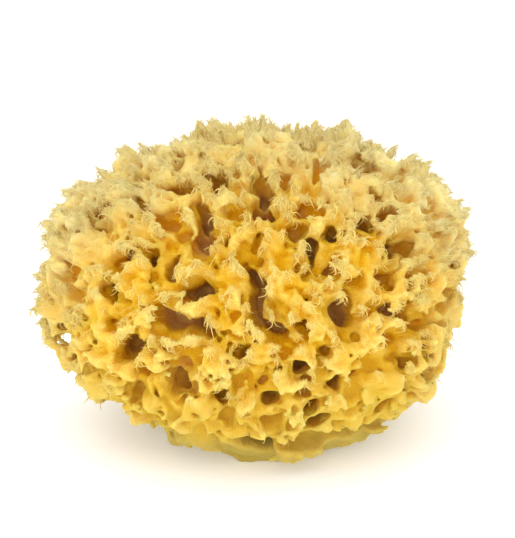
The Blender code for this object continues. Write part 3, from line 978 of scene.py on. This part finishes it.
def fibre_tree(material):
    """Curved, tapering fibres grown along the surface's "grow" directions."""
    tree = bpy.data.node_groups.new("fibres", "GeometryNodeTree")
    tree.interface.new_socket("Surface", in_out="INPUT", socket_type="NodeSocketGeometry")
    for name, kind, value in (
        ("Density", "NodeSocketFloat", 100000.0),
        ("Length", "NodeSocketFloat", 0.0025),
        ("Thickness", "NodeSocketFloat", 0.00012),
        ("Hook", "NodeSocketFloat", 0.5),
        ("Spread", "NodeSocketFloat", 0.5),
        ("Seed", "NodeSocketInt", 1),
    ):
        tree.interface.new_socket(name, in_out="INPUT", socket_type=kind).default_value = value
    tree.interface.new_socket("Fibres", in_out="OUTPUT", socket_type="NodeSocketGeometry")
    nodes, wire = tree.nodes, tree.links.new
    given = nodes.new("NodeGroupInput").outputs

    def node(kind, **settings):
        made = nodes.new(kind)
        for name, value in settings.items():
            setattr(made, name, value)
        return made

    def named(name, kind="FLOAT"):
        made = node("GeometryNodeInputNamedAttribute", data_type=kind)
        made.inputs["Name"].default_value = name
        return made.outputs["Attribute"]

    def maths(operation, a, b):
        made = node("ShaderNodeMath", operation=operation)
        for socket, value in zip(made.inputs, (a, b)):
            if isinstance(value, (int, float)):
                socket.default_value = value
            else:
                wire(value, socket)
        return made.outputs[0]

    def random_number(low, high, step):
        """A random number for each fibre. The step parts it from the tree's other random values."""
        made = node("FunctionNodeRandomValue", data_type="FLOAT")
        for name, value in (("Min", low), ("Max", high)):
            [s for s in made.inputs if s.name == name and s.type == "VALUE"][0].default_value = value
        wire(maths("ADD", given["Seed"], step), made.inputs["Seed"])
        return [s for s in made.outputs if s.type == "VALUE"][0]

    scatter = node("GeometryNodeDistributePointsOnFaces", distribute_method="RANDOM")
    wire(given["Surface"], scatter.inputs["Mesh"])
    wire(maths("MULTIPLY", given["Density"], named("fringe")), scatter.inputs["Density"])
    wire(given["Seed"], scatter.inputs["Seed"])

    bezier = node("GeometryNodeCurveQuadraticBezier")
    bezier.inputs["Start"].default_value = (0.0, 0.0, -0.12)
    middle = node("ShaderNodeCombineXYZ")
    wire(maths("ADD", 0.62, maths("MULTIPLY", given["Hook"], 0.25)), middle.inputs["Z"])
    wire(middle.outputs[0], bezier.inputs["Middle"])
    bezier.inputs["Resolution"].default_value = FIBRE_SEGMENTS
    end = node("ShaderNodeCombineXYZ")
    wire(maths("MULTIPLY", given["Hook"], 0.55), end.inputs["X"])
    wire(maths("SUBTRACT", 1.0, maths("MULTIPLY", given["Hook"], 0.45)), end.inputs["Z"])
    wire(end.outputs[0], bezier.inputs["End"])
    along = node("GeometryNodeSplineParameter")
    taper = maths("SUBTRACT", 1.0, maths("MULTIPLY", along.outputs["Factor"], 0.85))
    ring = node("GeometryNodeCurvePrimitiveCircle")
    ring.inputs["Resolution"].default_value = FIBRE_SIDES
    ring.inputs["Radius"].default_value = 1.0
    tube = node("GeometryNodeCurveToMesh")
    wire(maths("MULTIPLY", taper, maths("DIVIDE", given["Thickness"], given["Length"])), tube.inputs["Scale"])
    keep = node("GeometryNodeStoreNamedAttribute", data_type="FLOAT", domain="POINT")
    keep.inputs["Name"].default_value = "along"
    wire(bezier.outputs[0], keep.inputs["Geometry"])
    wire(along.outputs["Factor"], keep.inputs["Value"])
    wire(keep.outputs[0], tube.inputs["Curve"])
    wire(ring.outputs[0], tube.inputs["Profile Curve"])
    tube.inputs["Fill Caps"].default_value = True

    spread = node("FunctionNodeRandomValue", data_type="FLOAT_VECTOR")
    spread.inputs["Min"].default_value = (-1.0, -1.0, -1.2)
    spread.inputs["Max"].default_value = (1.0, 1.0, 0.8)
    wire(given["Seed"], spread.inputs["Seed"])
    stray = node("ShaderNodeVectorMath", operation="SCALE")
    wire(spread.outputs[0], stray.inputs[0])
    wire(given["Spread"], stray.inputs["Scale"])
    lean = node("ShaderNodeVectorMath", operation="ADD")
    wire(named("grow", "FLOAT_VECTOR"), lean.inputs[0])
    wire(stray.outputs[0], lean.inputs[1])
    aim = node("FunctionNodeAlignRotationToVector", axis="Z")
    wire(lean.outputs[0], aim.inputs["Vector"])
    droop = node("FunctionNodeAlignRotationToVector", axis="X", pivot_axis="Z")
    droop.inputs["Vector"].default_value = (0.0, 0.0, -1.0)
    wire(aim.outputs[0], droop.inputs["Rotation"])
    turn = node("FunctionNodeAxisAngleToRotation")
    turn.inputs["Axis"].default_value = (0.0, 0.0, 1.0)
    wire(random_number(-1.1, 1.1, 7), turn.inputs["Angle"])
    rotate = node("FunctionNodeRotateRotation", rotation_space="LOCAL")
    wire(droop.outputs[0], rotate.inputs["Rotation"])
    wire(turn.outputs[0], rotate.inputs["Rotate By"])
    put = node("GeometryNodeInstanceOnPoints")
    wire(scatter.outputs["Points"], put.inputs["Points"])
    wire(tube.outputs[0], put.inputs["Instance"])
    wire(rotate.outputs[0], put.inputs["Rotation"])
    wire(maths("MULTIPLY", given["Length"], random_number(0.45, 1.25, 13)), put.inputs["Scale"])
    real = node("GeometryNodeRealizeInstances")
    wire(put.outputs[0], real.inputs[0])
    dress = node("GeometryNodeSetMaterial")
    dress.inputs["Material"].default_value = material
    wire(real.outputs[0], dress.inputs["Geometry"])
    result = nodes.new("NodeGroupOutput")
    wire(dress.outputs[0], result.inputs[0])
    return tree


def fibre_piece(name, tree, emitter, sizes):
    """One kind of fibre, grown on the emitter's mesh with these values for the tree's inputs."""
    piece = new_object(name, emitter)
    grow = piece.modifiers.new("fibres", "NODES")
    grow.node_group = tree
    for item in tree.interface.items_tree:
        if item.in_out == "INPUT" and item.name in sizes:
            grow[item.identifier] = sizes[item.name]
    settle(piece)
    piece.data.shade_smooth()
    piece.data.name = name
    return piece


def pale_floor():
    bm = bmesh.new()
    bmesh.ops.create_grid(bm, x_segments=1, y_segments=1, size=4.0)
    mesh = bpy.data.meshes.new("floor")
    bm.to_mesh(mesh)
    bm.free()
    floor = new_object("floor", mesh)
    material = bpy.data.materials.new("floor_paint")
    material.use_nodes = True
    shader = material.node_tree.nodes["Principled BSDF"]
    shader.inputs["Base Color"].default_value = (0.94, 0.94, 0.94, 1)
    shader.inputs["Roughness"].default_value = 0.9
    shader.inputs["Emission Color"].default_value = (1, 1, 1, 1)
    shader.inputs["Emission Strength"].default_value = 0.2
    mesh.materials.append(material)


def soft_light():
    world = bpy.data.worlds.new("studio")
    bpy.context.scene.world = world
    world.use_nodes = True
    world.node_tree.nodes["Background"].inputs["Color"].default_value = (1, 1, 1, 1)
    world.node_tree.nodes["Background"].inputs["Strength"].default_value = 1.10
    for name, way, strength, angle in (
        ("key", (0.14, 0.55, -1.0), 0.43, 40.0),
        ("fill", (0.12, 1.00, -0.35), 0.78, 25.0),
    ):
        lamp = bpy.data.lights.new(name, "SUN")
        lamp.energy = strength
        lamp.angle = math.radians(angle)
        stand = new_object(name, lamp)
        stand.rotation_mode = "QUATERNION"
        stand.rotation_quaternion = Vector(way).to_track_quat("-Z", "Y")


def camera():
    forward = view_axes()[2]
    lens = bpy.data.cameras.new("camera")
    lens.sensor_width = SENSOR
    lens.lens = PIXELS_PER_METRE * VIEW_DISTANCE / PHOTO_HEIGHT * SENSOR
    stand = new_object("camera", lens)
    stand.location = AIM - forward * VIEW_DISTANCE
    stand.rotation_mode = "QUATERNION"
    stand.rotation_quaternion = forward.to_track_quat("-Z", "Y")
    bpy.context.scene.camera = stand


def fibre_places(mesh):
    """Where fibres stand, as a weight for each point, upright and hanging, and the way they grow."""
    near, wide, share = (numbers(mesh.attributes[name].data, "value") for name in ("near", "wide", "share"))
    points = numbers(mesh.vertices, "co", 3)
    normals = numbers(mesh.vertex_normals, "vector", 3)
    out = points - np.array(MIDDLE)
    out /= np.linalg.norm(out, axis=1, keepdims=True)
    # Thin places far out on the tufts, and fewer down by the lip and under the body.
    fringe = np.clip((0.33 - near) / 0.12, 0, 1) * np.clip((0.62 - wide) / 0.12, 0, 1)
    fringe *= np.clip((share - 0.30) / 0.45, 0, 1)
    fringe = np.clip(fringe, 0, 1) ** 1.3 + 0.012 * np.clip((0.7 - wide) / 0.2, 0, 1)
    above_lip = np.clip((points[:, 2] - 0.008) / 0.030, 0, 1)
    fringe *= above_lip * (0.3 + 0.7 * np.clip((out[:, 2] + 0.45) / 0.35, 0, 1))
    upright = fringe * (0.15 + 0.85 * np.clip(out[:, 2] / 0.6, 0, 1))
    # Hanging ones root on the upper faces of thin ends and come out past their lower edges.
    hang = fringe * np.clip(0.15 + normals[:, 2], 0, 1)
    return upright, hang, out * 0.90 - normals * 0.40


def grow_fibres(mesh, tree):
    """The four kinds of fibres: name, number, where they stand, how far they fall, and the tree's inputs."""
    upright, hang, grow = fibre_places(mesh)
    faces = numbers(mesh.loops, "vertex_index", kind=np.int32).reshape(-1, 3)
    areas = numbers(mesh.polygons, "area")
    pieces = []
    for name, count, where, fall, *sizes in (
        ("fringe_points", 8500, upright, -0.10, 0.0033, 0.00019, 0.30, 0.22, 3),
        ("hooked_fibres", 5400, hang, 0.35, 0.0040, 0.00022, 1.4, 0.45, 11),
        ("fine_fibres", 5500, upright, 0.10, 0.0022, 0.00013, 0.3, 0.28, 23),
        ("hanging_fibres", 5000, hang, 0.35, 0.0030, 0.00017, 1.2, 0.45, 31),
    ):
        weight = float((areas * where[faces].mean(axis=1)).sum())
        store(mesh, "fringe", where)
        store(mesh, "grow", grow - np.array((0, 0, fall)))
        inputs = dict(zip(FIBRE_INPUTS, sizes), Density=count / weight)
        pieces.append(fibre_piece(name, tree, mesh, inputs))
    return pieces


def main():
    skin = skin_object()
    tones = tone_group()
    flesh = sponge_material("sponge_flesh", tones, 0.0, False)
    strand = sponge_material("sponge_strand", tones, STRAND_LIGHTER, True)
    pieces = [skin] + grow_fibres(skin.data, fibre_tree(strand))
    skin.data.materials.clear()
    skin.data.materials.append(flesh)
    for piece in pieces:
        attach(piece, "root")
    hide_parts("sponge")
    pale_floor()
    soft_light()
    camera()
    bpy.context.scene.view_settings.view_transform = "Standard"


main()
